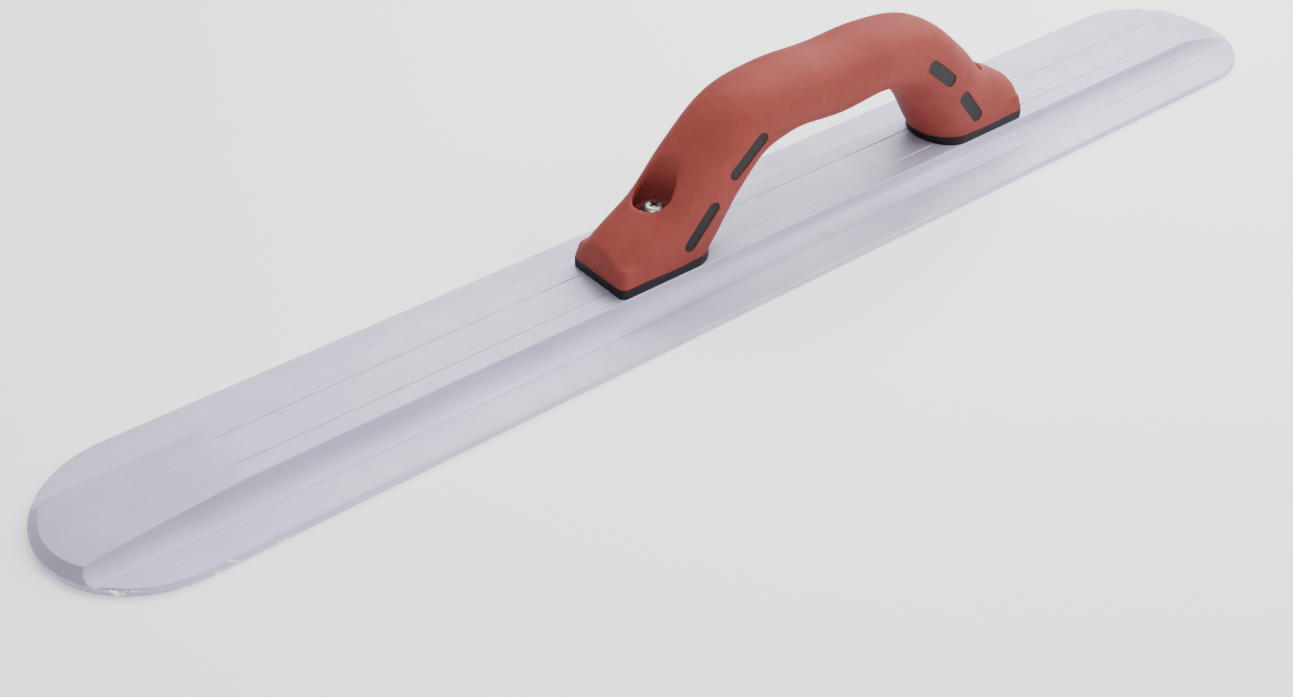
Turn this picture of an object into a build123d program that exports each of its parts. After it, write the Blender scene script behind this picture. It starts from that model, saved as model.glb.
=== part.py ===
from build123d import *
from math import cos, pi, radians, sin, sqrt, tan
import os

# Magnesium hand float: a long round-ended blade with a raised centre rail, and a
# bridge handle (hard core, soft grip moulded over it) held down by two screws.
# Millimetres. +X runs along the blade, +Z up, origin at the middle of the working
# face. The front end is the one at -X.

# Blade
BLADE_LENGTH = 609.6        # 24 in
BLADE_WIDTH = 79.375        # 3 1/8 in, with full-round ends
RIM_THICKNESS = 2.9         # flange at the outer edge
FLANGE_RISE = 0.3           # the flange grows this much thicker towards the cove
RAIL_HEIGHT = 10.6          # working face to the top of the rail
RAIL_WIDTH = 32.9
COVE_FLOOR = 2.6            # height of the low line of the cove beside the rail
COVE_LIP = 2.0              # step from that low line out to the flange
GROOVE_SPACING = 16.2       # two scribed grooves along the rail top
GROOVE_WIDTH = 0.7
GROOVE_DEPTH = 0.45
END_BEVEL = radians(45)     # trimmed round each end, above the rim
FRONT_TAPER_LENGTH = 67.8   # rail top ground down towards the front tip
FRONT_ROLL_LENGTH = 20.0    # last stretch of that taper, a little steeper
FRONT_ROLL_HEIGHT = 7.6     # blade height where that last stretch starts
FRONT_TIP_HEIGHT = 5.4
REAR_TAPER_LENGTH = 36.8
REAR_TIP_HEIGHT = 2.5
RIM_ROUND = 0.5             # small radius along the flange's top edge

# Handle, measured from its own middle
HANDLE_OFFSET = 33.5        # middle of the handle, towards the rear from mid-blade
HANDLE_LENGTH = 228.6       # 9 in
FOOT_WIDTH = 32.0
FOOT_FLAT = 37.6            # straight side of a foot, from its outer end
FOOT_NOSE = 13.0            # rounded inner end of a foot
FOOT_PLATE = 4.2            # core plate that shows below the grip
FOOT_CORNER = 3.0
FOOT_SKIRT = 7.0            # drafted skirt where the grip widens onto the plate
SKIRT_DRAFT = radians(14)
BRIDGE_RISE = 51.7          # rail top to the highest point of the bridge's axis
# Stations along half the bridge: distance from the foot's outer end, height as a
# share of the rise, half thickness across the bridge, half width
STATIONS = (
    (4.3, -0.232, 25.5, 16.0),
    (19.5, 0.021, 23.0, 16.3),
    (34.8, 0.265, 19.7, 16.6),
    (50.5, 0.631, 16.6, 17.0),
    (67.8, 0.919, 14.9, 17.0),
    (86.5, 1.0, 13.4, 17.0),
)
MID_STATION = (0.981, 13.8, 17.0)   # height share, half thickness, half width
SECTION_POWER = 2.4         # superellipse power of the bridge's section
SECTION_POINTS = 20
GRIP_WALL = 3.0             # soft grip over the hard core

# Windows through the grip, where lands of the core show. Each lies on the bridge's
# axis between two distances from the foot's outer end.
WINDOWS = ((32.0, 44.6), (53.2, 68.0))
WINDOW_WIDTH = 5.9
LAND_SINK = 0.4             # lands lie this far below the grip's skin

# Screws: No. 10-24 x 1 in pan head, with No. 10 flat washers
SCREW_FROM_END = 28.0       # screw axis, from the foot's outer end
SCREW_DIAMETER = 4.83
SCREW_ENGAGEMENT = 4.0      # length of thread held by the blade
HEAD_DIAMETER = 9.5
HEAD_HEIGHT = 3.3
DRIVE_SPAN = 5.0            # cross recess, tip to tip
DRIVE_WIDTH = 1.2
DRIVE_DEPTH = 1.8
WASHER_DIAMETER = 12.7
WASHER_BORE = 5.6
WASHER_THICKNESS = 1.2
WELL_DIAMETER = 16.7
WELL_WALL = 2.0             # the grip also lines the wells
SEAT_HEIGHT = 20.2          # washer seat above the rail
CORE_BORE = 5.3             # clearance hole for the screw
HOLE_SPARE = 1.0            # tapped hole goes this far past the screw tip

MARGIN = 20.0               # overshoot of cutting bodies

SCREW_LENGTH = SEAT_HEIGHT + WASHER_THICKNESS + SCREW_ENGAGEMENT


def blade_section():
    """Cross-section of the blade in YZ, as a face."""
    rail = RAIL_WIDTH / 2
    cove_radius = RAIL_HEIGHT - COVE_FLOOR
    low = rail + cove_radius
    lip = low + COVE_LIP
    edge = BLADE_WIDTH / 2
    flange_top = RIM_THICKNESS + FLANGE_RISE
    diagonal = cove_radius / sqrt(2)
    cove_mid = (low - diagonal, RAIL_HEIGHT - diagonal)
    right = [
        Line((0, 0), (edge, 0)),
        Line((edge, 0), (edge, RIM_THICKNESS)),
        Line((edge, RIM_THICKNESS), (lip, flange_top)),
        Line((lip, flange_top), (low, COVE_FLOOR)),
        ThreePointArc((low, COVE_FLOOR), cove_mid, (rail, RAIL_HEIGHT)),
        Line((rail, RAIL_HEIGHT), (0, RAIL_HEIGHT)),
    ]
    left = [mirror(part, about=Plane.YZ) for part in right]
    return Plane.YZ * make_face(right + left)


def end_outline(height, shrink=0.0):
    """Plan of the blade, a slot shape with full-round ends, at a height."""
    width = BLADE_WIDTH - 2 * shrink
    length = BLADE_LENGTH - 2 * shrink
    return Pos(0, 0, height) * SlotOverall(length, width)


def taper_cut(start, end, start_z, end_z):
    """Solid above a slope on the rail top, from start to end along X."""
    top = RAIL_HEIGHT + MARGIN
    corners = Polyline(
        (start, 0, start_z), (end, 0, end_z), (end, 0, top), (start, 0, top), close=True
    )
    return extrude(make_face(corners), amount=BLADE_WIDTH / 2 + MARGIN, both=True)


def screw_places():
    """X of the front and rear screw axes."""
    reach = HANDLE_LENGTH / 2 - SCREW_FROM_END
    return {"front": HANDLE_OFFSET - reach, "rear": HANDLE_OFFSET + reach}


def make_blade():
    """Blade: rail, coves, flanges, tapered ends and two tapped holes."""
    body = extrude(blade_section(), amount=BLADE_LENGTH / 2, both=True)
    groove = Polyline(
        (0, -GROOVE_WIDTH / 2, RAIL_HEIGHT),
        (0, GROOVE_WIDTH / 2, RAIL_HEIGHT),
        (0, 0, RAIL_HEIGHT - GROOVE_DEPTH),
        close=True,
    )
    groove_cut = extrude(make_face(groove), amount=BLADE_LENGTH / 2, both=True)
    for side in (-1, 1):
        body -= Pos(0, side * GROOVE_SPACING / 2, 0) * groove_cut

    tip = BLADE_LENGTH / 2
    front_start = -tip + FRONT_TAPER_LENGTH
    front_roll = -tip + FRONT_ROLL_LENGTH
    body -= taper_cut(front_start, front_roll, RAIL_HEIGHT, FRONT_ROLL_HEIGHT)
    body -= taper_cut(front_roll, -tip, FRONT_ROLL_HEIGHT, FRONT_TIP_HEIGHT)
    body -= taper_cut(tip - REAR_TAPER_LENGTH, tip, RAIL_HEIGHT, REAR_TIP_HEIGHT)

    bevel_rise = RAIL_HEIGHT - RIM_THICKNESS + 1
    rim = extrude(end_outline(0), amount=RIM_THICKNESS)
    crown = loft([
        end_outline(RIM_THICKNESS),
        end_outline(RIM_THICKNESS + bevel_rise, bevel_rise / tan(END_BEVEL)),
    ])
    body = body & (rim + crown)
    edges = body.edges().filter_by_position(Axis.Z, 0.9 * RIM_THICKNESS, 1.02 * RIM_THICKNESS)
    straight = [edge for edge in edges if edge.length > BLADE_LENGTH / 2]
    body = fillet(straight, RIM_ROUND)

    depth = SCREW_ENGAGEMENT + HOLE_SPARE
    for x in screw_places().values():
        hole = Cylinder(SCREW_DIAMETER / 2, depth, align=(Align.CENTER, Align.CENTER, Align.MAX))
        body -= Pos(x, 0, RAIL_HEIGHT) * hole
    return body


def bridge_path():
    """Stations from front to rear: X, Z, half thickness, half width."""
    front = []
    rear = []
    for distance, share, half_thickness, half_width in STATIONS:
        reach = HANDLE_LENGTH / 2 - distance
        z = RAIL_HEIGHT + share * BRIDGE_RISE
        front.append((HANDLE_OFFSET - reach, z, half_thickness, half_width))
        rear.insert(0, (HANDLE_OFFSET + reach, z, half_thickness, half_width))
    share, half_thickness, half_width = MID_STATION
    middle = (HANDLE_OFFSET, RAIL_HEIGHT + share * BRIDGE_RISE, half_thickness, half_width)
    return front + [middle] + rear


def bridge_axis():
    """Centre line of the bridge."""
    return Spline(*[(x, 0, z) for x, z, *_ in bridge_path()])


def axis_point(x):
    """Point of the bridge's centre line at a place along the blade."""
    axis = bridge_axis()
    low, high = 0.0, 1.0
    for _ in range(40):
        middle = (low + high) / 2
        if (axis @ middle).X < x:
            low = middle
        else:
            high = middle
    return axis @ low


def superellipse(half_width, half_height):
    """Closed curve of a rounded section, on the XY plane."""
    points = []
    for step in range(SECTION_POINTS):
        angle = 2 * pi * step / SECTION_POINTS
        c, s = cos(angle), sin(angle)
        x = half_width * abs(c) ** (2 / SECTION_POWER) * (1 if c >= 0 else -1)
        y = half_height * abs(s) ** (2 / SECTION_POWER) * (1 if s >= 0 else -1)
        points.append((x, y))
    return make_face(Spline(*points, periodic=True))


def bridge(inset=0.0):
    """Arched bar of the handle, from below one foot to below the other."""
    axis = bridge_axis()
    sections = []
    for x, z, half_thickness, half_width in bridge_path():
        along = axis % axis.param_at_point((x, 0, z))
        plane = Plane(origin=(x, 0, z), x_dir=(0, 1, 0), z_dir=along)
        sections.append(plane * superellipse(half_width - inset, half_thickness - inset))
    return loft(sections)


def foot_plan(side, shrink=0.0):
    """Plan of one foot: square outer corners, rounded inner nose."""
    outer = HANDLE_LENGTH / 2 - shrink
    inner = HANDLE_LENGTH / 2 - FOOT_FLAT
    half = FOOT_WIDTH / 2 - shrink
    corner = FOOT_CORNER
    slant = corner * (1 - 1 / sqrt(2))
    outline = [
        Line((inner, -half), (outer - corner, -half)),
        ThreePointArc((outer - corner, -half), (outer - slant, slant - half), (outer, corner - half)),
        Line((outer, corner - half), (outer, half - corner)),
        ThreePointArc((outer, half - corner), (outer - slant, half - slant), (outer - corner, half)),
        Line((outer - corner, half), (inner, half)),
        EllipticalCenterArc((inner, 0), FOOT_NOSE - shrink, half, start_angle=90, arc_size=180),
    ]
    plan = make_face(outline)
    if side < 0:
        plan = mirror(plan, about=Plane.YZ)
    return Pos(HANDLE_OFFSET, 0, 0) * plan


def window_bodies():
    """Slot-shaped bars across the handle, one for each window."""
    bars = []
    for side in (-1, 1):
        for lower, upper in WINDOWS:
            start = axis_point(HANDLE_OFFSET + side * (HANDLE_LENGTH / 2 - lower))
            end = axis_point(HANDLE_OFFSET + side * (HANDLE_LENGTH / 2 - upper))
            along = (end - start).normalized()
            plane = Plane(origin=(start + end) / 2, x_dir=along, z_dir=(0, -1, 0))
            slot = SlotOverall((end - start).length + WINDOW_WIDTH / 2, WINDOW_WIDTH)
            bars.append(extrude(plane * slot, amount=FOOT_WIDTH, both=True))
    return bars


def wells(diameter):
    """Upright cylinders over both screws, from the washer seats up."""
    height = HANDLE_LENGTH / 2
    tool = Cylinder(diameter / 2, height, align=(Align.CENTER, Align.CENTER, Align.MIN))
    seat = RAIL_HEIGHT + SEAT_HEIGHT
    return [Pos(x, 0, seat) * tool for x in screw_places().values()]


def handle_space(bottom):
    """Box that trims the bridge to the handle's ends, above a height."""
    size = 2 * HANDLE_LENGTH
    box = Box(HANDLE_LENGTH, size, size, align=(Align.CENTER, Align.CENTER, Align.MIN))
    return Pos(HANDLE_OFFSET, 0, bottom) * box


def make_envelope():
    """Outer skin of the grip as one full body."""
    plate_top = RAIL_HEIGHT + FOOT_PLATE
    body = bridge() & handle_space(plate_top)
    for side in (-1, 1):
        lean = FOOT_SKIRT * tan(SKIRT_DRAFT)
        skirt = loft([foot_plan(side), Pos(0, 0, FOOT_SKIRT) * foot_plan(side, lean)])
        body += Pos(0, 0, plate_top) * skirt
    return body


def make_core_blank():
    """Hard core before its bores: inner bridge, foot plates, lands and lined wells."""
    plate_top = RAIL_HEIGHT + FOOT_PLATE
    size = 2 * HANDLE_LENGTH
    inner_length = HANDLE_LENGTH - 2 * GRIP_WALL
    trim = Box(inner_length, size, size, align=(Align.CENTER, Align.CENTER, Align.MIN))
    blank = bridge(GRIP_WALL) & (Pos(HANDLE_OFFSET, 0, plate_top) * trim)
    sunk = bridge(LAND_SINK)
    for bar in window_bodies():
        blank += bar & sunk
    for side in (-1, 1):
        blank += Pos(0, 0, RAIL_HEIGHT) * extrude(foot_plan(side), amount=FOOT_PLATE)
    for well in wells(WELL_DIAMETER + 2 * WELL_WALL):
        blank -= well
    return blank


def make_core(blank):
    """Hard core with the clearance holes for the screws."""
    core = blank
    for x in screw_places().values():
        core -= Pos(x, 0, RAIL_HEIGHT + SEAT_HEIGHT) * Cylinder(CORE_BORE / 2, 4 * SEAT_HEIGHT)
    return core


def make_grip(envelope, blank):
    """Soft grip moulded over the core, open at the windows and down the wells."""
    grip = envelope - blank
    for cutter in window_bodies() + wells(WELL_DIAMETER):
        grip -= cutter
    return grip


def make_washer(x):
    """Flat washer on its seat in the core."""
    ring = Cylinder(WASHER_DIAMETER / 2, WASHER_THICKNESS) - Cylinder(WASHER_BORE / 2, MARGIN)
    return Pos(x, 0, RAIL_HEIGHT + SEAT_HEIGHT + WASHER_THICKNESS / 2) * ring


def make_screw(x):
    """Pan-head machine screw with a cross recess, its thread plain."""
    under_head = RAIL_HEIGHT + SEAT_HEIGHT + WASHER_THICKNESS
    shank = Cylinder(SCREW_DIAMETER / 2, SCREW_LENGTH, align=(Align.CENTER, Align.CENTER, Align.MAX))
    shank = chamfer(shank.edges().sort_by(Axis.Z)[0], 0.6)
    head = Cylinder(HEAD_DIAMETER / 2, HEAD_HEIGHT, align=(Align.CENTER, Align.CENTER, Align.MIN))
    head = fillet(head.edges().group_by(Axis.Z)[-1], 0.7 * HEAD_HEIGHT)
    for turn in (0, 90):
        bar = Box(DRIVE_SPAN, DRIVE_WIDTH, 2 * DRIVE_DEPTH)
        head -= Pos(0, 0, HEAD_HEIGHT) * Rot(0, 0, turn) * bar
    return Pos(x, 0, under_head) * (shank + head)


def save(name, shape):
    """Write one sub-part, with its name as the file's name."""
    shape.label = name
    export_step(shape, f"parts/{name}.step")


os.makedirs("parts", exist_ok=True)
core_blank = make_core_blank()
save("blade", make_blade())
save("handle_core", make_core(core_blank))
save("handle_grip", make_grip(make_envelope(), core_blank))
for end, x in screw_places().items():
    save(f"washer_{end}", make_washer(x))
    save(f"screw_{end}", make_screw(x))
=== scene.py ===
"""Studio scene of a long magnesium hand float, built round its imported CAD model.

Each sub-assembly is a class: it holds its sizes as fields, takes its place from the
boxes of the CAD nodes, models its pieces in edit mode and dresses them with a finish.
Lengths are in metres. +X runs along the blade to the rear tip and +Z points up.
"""
import logging
import math
from contextlib import contextmanager
from dataclasses import dataclass, field
from enum import Enum
from typing import Callable, Iterator

import bmesh
import bpy
from mathutils import Matrix, Vector


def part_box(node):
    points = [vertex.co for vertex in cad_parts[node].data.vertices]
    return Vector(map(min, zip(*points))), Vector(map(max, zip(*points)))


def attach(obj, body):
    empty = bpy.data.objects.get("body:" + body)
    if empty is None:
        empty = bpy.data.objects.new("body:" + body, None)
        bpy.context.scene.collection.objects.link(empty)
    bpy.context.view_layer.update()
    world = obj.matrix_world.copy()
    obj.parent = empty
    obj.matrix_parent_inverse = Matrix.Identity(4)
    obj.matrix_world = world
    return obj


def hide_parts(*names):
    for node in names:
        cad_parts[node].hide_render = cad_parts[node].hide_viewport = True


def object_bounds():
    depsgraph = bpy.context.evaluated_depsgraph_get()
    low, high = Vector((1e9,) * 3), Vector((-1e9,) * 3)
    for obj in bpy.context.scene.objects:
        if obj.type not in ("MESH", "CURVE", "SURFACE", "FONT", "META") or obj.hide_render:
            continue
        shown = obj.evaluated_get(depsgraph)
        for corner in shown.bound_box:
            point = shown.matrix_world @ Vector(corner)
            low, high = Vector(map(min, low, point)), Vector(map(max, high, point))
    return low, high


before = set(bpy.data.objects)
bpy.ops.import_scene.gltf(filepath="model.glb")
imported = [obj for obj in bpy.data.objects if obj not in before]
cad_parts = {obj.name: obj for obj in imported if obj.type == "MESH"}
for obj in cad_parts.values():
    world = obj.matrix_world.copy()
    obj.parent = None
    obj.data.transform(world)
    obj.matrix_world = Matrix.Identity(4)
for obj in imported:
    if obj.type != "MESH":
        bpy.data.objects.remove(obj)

CAD_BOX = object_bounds()
LOG = logging.getLogger("hand_float")
MM = 0.001
SHARP = math.radians(60)

Place = tuple[float, float, float]
VertTest = Callable[[Vector], bool]
FaceTest = Callable[[Vector, Vector], bool]
EdgeTest = Callable[[Vector, float], bool]


# ---------------------------------------------------------------- bench tools


class Cut(Enum):
    """How a tool body changes the piece that it is applied to."""

    AWAY = "DIFFERENCE"
    TOGETHER = "UNION"
    COMMON = "INTERSECT"


def deselect() -> None:
    """Leaves no object selected."""
    bpy.ops.object.select_all(action="DESELECT")


def choose(piece: bpy.types.Object) -> None:
    """Selects one object alone and makes it the active one.

    Args:
        piece: The object.
    """
    deselect()
    piece.select_set(True)
    bpy.context.view_layer.objects.active = piece


def take(name: str) -> bpy.types.Object:
    """Names the object that a primitive has just added, and settles its place.

    Args:
        name: The piece's name.

    Returns:
        The active object, its place moved into its mesh.
    """
    piece = bpy.context.view_layer.objects.active
    piece.name = name
    piece.data.name = name
    settle(piece)
    return piece


def settle(piece: bpy.types.Object) -> None:
    """Moves an object's place, turn and scale into its mesh."""
    choose(piece)
    bpy.ops.object.transform_apply(location=True, rotation=True, scale=True)


@contextmanager
def editing(piece: bpy.types.Object, kind: str = "FACE", whole: bool = False) -> Iterator[None]:
    """Opens a piece in edit mode, and closes it again.

    Args:
        piece: The mesh object to edit.
        kind: What can be selected: VERT, EDGE or FACE.
        whole: Whether all of it is selected at the start, or nothing.

    Yields:
        Nothing, while the piece is in edit mode.
    """
    choose(piece)
    bpy.ops.object.mode_set(mode="EDIT")
    bpy.ops.mesh.select_mode(type=kind)
    bpy.ops.mesh.select_all(action="SELECT" if whole else "DESELECT")
    yield
    bpy.ops.object.mode_set(mode="OBJECT")


def pick_verts(piece: bpy.types.Object, test: VertTest) -> None:
    """Selects the vertices of the piece in edit mode that pass a test.

    Args:
        piece: The piece in edit mode.
        test: Takes a vertex's place.
    """
    mesh = bmesh.from_edit_mesh(piece.data)
    for vert in mesh.verts:
        vert.select_set(test(vert.co))
    mesh.select_flush_mode()
    bmesh.update_edit_mesh(piece.data)


def pick_faces(piece: bpy.types.Object, test: FaceTest) -> None:
    """Selects the faces of the piece in edit mode that pass a test.

    Args:
        piece: The piece in edit mode.
        test: Takes a face's middle and its normal.
    """
    mesh = bmesh.from_edit_mesh(piece.data)
    for face in mesh.faces:
        face.select_set(test(face.calc_center_median(), face.normal))
    mesh.select_flush_mode()
    bmesh.update_edit_mesh(piece.data)


def bevel_edges(piece: bpy.types.Object, size: float, segments: int, test: EdgeTest) -> None:
    """Bevels the edges of a piece that pass a test.

    Args:
        piece: The piece.
        size: Width of the bevel.
        segments: Number of its steps.
        test: Takes an edge's middle and the angle between its faces.
    """
    with editing(piece, "EDGE"):
        mesh = bmesh.from_edit_mesh(piece.data)
        for edge in mesh.edges:
            start, end = (vert.co for vert in edge.verts)
            angle = edge.calc_face_angle(0.0) if len(edge.link_faces) == 2 else math.pi
            edge.select_set(test((start + end) / 2, angle))
        mesh.select_flush_mode()
        bmesh.update_edit_mesh(piece.data)
        bpy.ops.mesh.bevel(offset=size, segments=segments, affect="EDGES")


def soften(piece: bpy.types.Object, passes: int, test: VertTest) -> None:
    """Evens out the surface round the vertices of a piece that pass a test.

    Args:
        piece: The piece.
        passes: How many times it is evened out.
        test: Takes a vertex's place.
    """
    with editing(piece, "VERT"):
        pick_verts(piece, test)
        bpy.ops.mesh.vertices_smooth(factor=0.5, repeat=passes)


def apply_modifier(piece: bpy.types.Object, kind: str, **settings: object) -> None:
    """Adds a modifier to a piece and applies it at once.

    Args:
        piece: The piece to change.
        kind: The modifier's type.
        **settings: Values for the modifier's properties.
    """
    choose(piece)
    modifier = piece.modifiers.new(kind.lower(), kind)
    for name, value in settings.items():
        setattr(modifier, name, value)
    bpy.ops.object.modifier_apply(modifier=modifier.name)


def combine(piece: bpy.types.Object, tool: bpy.types.Object, cut: Cut, keep: bool = False) -> None:
    """Cuts or joins a piece with a tool body.

    Args:
        piece: The piece to change.
        tool: The other body.
        cut: Whether the tool is taken away, joined, or kept in common.
        keep: Whether the tool body stays for another use.
    """
    apply_modifier(piece, "BOOLEAN", object=tool, operation=cut.value, solver="EXACT")
    if not keep:
        bpy.data.objects.remove(tool)


def weld(piece: bpy.types.Object, others: list[bpy.types.Object]) -> None:
    """Puts other closed pieces into a piece's mesh, to be fused by a remesh.

    Args:
        piece: The piece that takes them in.
        others: The pieces that end up in it.
    """
    choose(piece)
    for other in others:
        other.select_set(True)
    bpy.ops.object.join()


def slice_off(piece: bpy.types.Object, point: Vector, outwards: Vector) -> None:
    """Saws a piece along the plane through a point, drops what lies outwards and closes the cut."""
    with editing(piece, whole=True):
        bpy.ops.mesh.bisect(plane_co=point, plane_no=outwards, use_fill=True, clear_outer=True)


def copy_of(piece: bpy.types.Object, name: str, move: Place = (0.0, 0.0, 0.0)) -> bpy.types.Object:
    """Copies a piece with a mesh of its own.

    Args:
        piece: The piece to copy.
        name: The copy's name.
        move: How far the copy is moved.

    Returns:
        The settled copy.
    """
    twin = piece.copy()
    twin.data = piece.data.copy()
    twin.name = name
    twin.data.name = name
    bpy.context.scene.collection.objects.link(twin)
    twin.location = move
    settle(twin)
    return twin


def draw(name: str, points: list[Vector]) -> bpy.types.Object:
    """Draws a closed flat outline by pulling one corner from point to point.

    Args:
        name: The piece's name.
        points: The outline's corners in order.

    Returns:
        A piece of one face.
    """
    deselect()
    bpy.ops.mesh.primitive_plane_add(size=MM, location=points[0])
    piece = take(name)
    with editing(piece, "VERT", whole=True):
        bpy.ops.mesh.merge(type="CENTER")
        for start, end in zip(points, points[1:]):
            bpy.ops.mesh.extrude_vertices_move(TRANSFORM_OT_translate={"value": end - start})
        bpy.ops.mesh.select_all(action="SELECT")
        bpy.ops.mesh.edge_face_add()
    return piece


def thicken(piece: bpy.types.Object, push: Vector) -> None:
    """Pulls every face of a flat piece out into a closed block.

    Args:
        piece: A flat piece.
        push: How far and which way the face is pulled.
    """
    with editing(piece, whole=True):
        bpy.ops.mesh.extrude_region_move(TRANSFORM_OT_translate={"value": push})
    face_outwards(piece)


def face_outwards(piece: bpy.types.Object) -> None:
    """Merges doubled points and turns every face outwards.

    Args:
        piece: A closed piece.
    """
    with editing(piece, whole=True):
        bpy.ops.mesh.remove_doubles(threshold=0.001 * MM)
        bpy.ops.mesh.normals_make_consistent(inside=False)


def smooth(piece: bpy.types.Object, angle: float) -> None:
    """Shades a piece smooth, with creases where faces turn by more than the angle."""
    choose(piece)
    bpy.ops.object.shade_smooth_by_angle(angle=angle)


def rod(name: str, radius: float, low: float, high: float, x: float, sides: int = 96) -> bpy.types.Object:
    """Adds an upright cylinder on the blade's centre line.

    Args:
        name: The piece's name.
        radius: Its radius.
        low: Height of its lower end.
        high: Height of its upper end.
        x: Place of its axis along the blade.
        sides: Number of its flat sides.

    Returns:
        The cylinder.
    """
    deselect()
    middle = (x, 0.0, (low + high) / 2)
    bpy.ops.mesh.primitive_cylinder_add(vertices=sides, radius=radius, depth=high - low, location=middle)
    return take(name)


# --------------------------------------------------------------- node helpers


@dataclass
class Graph:
    """A node tree under construction."""

    tree: bpy.types.NodeTree

    def add(self, kind: str, inputs: dict | None = None, **settings: object) -> bpy.types.Node:
        """Adds a node, and sets or links its inputs.

        Args:
            kind: The node's type, without the ShaderNode prefix.
            inputs: Values or output sockets, by input name or number.
            **settings: Values for the node's own properties.

        Returns:
            The new node.
        """
        node = self.tree.nodes.new("ShaderNode" + kind if not kind.startswith("Node") else kind)
        for name, value in settings.items():
            setattr(node, name, value)
        self.feed(node, inputs or {})
        return node

    def feed(self, node: bpy.types.Node, inputs: dict) -> None:
        """Sets or links inputs of a node.

        Args:
            node: The node to feed.
            inputs: Values or output sockets, by input name or number.
        """
        for name, value in inputs.items():
            if isinstance(value, bpy.types.NodeSocket):
                self.tree.links.new(value, node.inputs[name])
            else:
                node.inputs[name].default_value = value

    def math(self, operation: str, *values: object, clamp: bool = False) -> bpy.types.NodeSocket:
        """Adds a Math node for an operation on numbers or sockets, and returns its output."""
        node = self.add("Math", dict(enumerate(values)), operation=operation, use_clamp=clamp)
        return node.outputs[0]

    def ramp(self, value: bpy.types.NodeSocket, low: float, high: float) -> bpy.types.NodeSocket:
        """Turns the values from low to high smoothly into 0 to 1."""
        inputs = {"Value": value, "From Min": low, "From Max": high}
        return self.add("MapRange", inputs, interpolation_type="SMOOTHSTEP").outputs["Result"]

    def blend(self, share: object, first: object, second: object) -> bpy.types.NodeSocket:
        """Mixes two colours, the share being how much there is of the second."""
        node = self.add("Mix", {0: share, 6: first, 7: second}, data_type="RGBA")
        return node.outputs[2]

    def noise(
        self, vector: bpy.types.NodeSocket, scale: object, detail: float
    ) -> bpy.types.NodeSocket:
        """Adds a noise pattern, about 0.5 on average, with detail for its finer layers."""
        return self.add("TexNoise", {"Vector": vector, "Scale": scale, "Detail": detail}).outputs[0]


class Effect(Enum):
    """Surface effects that several finishes share, each a node group."""

    GRAIN = "fine_grain"
    MOTTLE = "soft_mottle"
    STREAKS = "long_streaks"
    SCUFFS = "sparse_scuffs"

    def new_group(self, inputs: dict[str, float]) -> tuple[Graph, bpy.types.Node, bpy.types.Node]:
        """Starts the group, with a Vector input, further inputs and the output Mask.

        Args:
            inputs: The further inputs' names and their usual values.

        Returns:
            The group's graph, its input node and its output node.
        """
        group = bpy.data.node_groups.new(self.value, "ShaderNodeTree")
        group.interface.new_socket("Vector", in_out="INPUT", socket_type="NodeSocketVector")
        for name, usual in inputs.items():
            socket = group.interface.new_socket(name, in_out="INPUT", socket_type="NodeSocketFloat")
            socket.default_value = usual
        group.interface.new_socket("Mask", in_out="OUTPUT", socket_type="NodeSocketFloat")
        graph = Graph(group)
        return graph, graph.add("NodeGroupInput"), graph.add("NodeGroupOutput")

    def group(self) -> bpy.types.NodeTree:
        """Builds the effect's node group, once.

        Returns:
            The group.
        """
        known = bpy.data.node_groups.get(self.value)
        if known:
            return known
        if self is Effect.STREAKS:
            graph, given, result = self.new_group({"Scale": 900.0, "Stretch": 0.02})
            stretch = graph.add("CombineXYZ", {0: given.outputs["Stretch"], 1: 1.0, 2: 1.0}).outputs[0]
            place = graph.add("VectorMath", {0: given.outputs["Vector"], 1: stretch}, operation="MULTIPLY")
            value = graph.noise(place.outputs[0], given.outputs["Scale"], 3.0)
            graph.feed(result, {"Mask": graph.ramp(value, 0.3, 0.7)})
        elif self is Effect.SCUFFS:
            graph, given, result = self.new_group({"Scale": 260.0, "Cover": 0.3})
            value = graph.noise(given.outputs["Vector"], given.outputs["Scale"], 4.0)
            edge = graph.math("SUBTRACT", 1.0, given.outputs["Cover"])
            over = graph.math("SUBTRACT", value, edge)
            graph.feed(result, {"Mask": graph.math("MULTIPLY", over, 14.0, clamp=True)})
        elif self is Effect.MOTTLE:
            graph, given, result = self.new_group({"Scale": 30.0})
            value = graph.noise(given.outputs["Vector"], given.outputs["Scale"], 3.0)
            graph.feed(result, {"Mask": graph.ramp(value, 0.25, 0.75)})
        else:
            graph, given, result = self.new_group({"Scale": 2400.0})
            graph.feed(result, {"Mask": graph.noise(given.outputs["Vector"], given.outputs["Scale"], 1.0)})
        return graph.tree

    def place(self, graph: Graph, vector: bpy.types.NodeSocket, **inputs: float) -> bpy.types.NodeSocket:
        """Puts the effect into a material.

        Args:
            graph: The material's graph.
            vector: Where the pattern is read.
            **inputs: Values for the group's inputs.

        Returns:
            The effect's mask.
        """
        node = graph.add("Group", node_tree=self.group())
        graph.feed(node, {"Vector": vector, **inputs})
        return node.outputs["Mask"]


# ------------------------------------------------------------------- finishes


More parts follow.
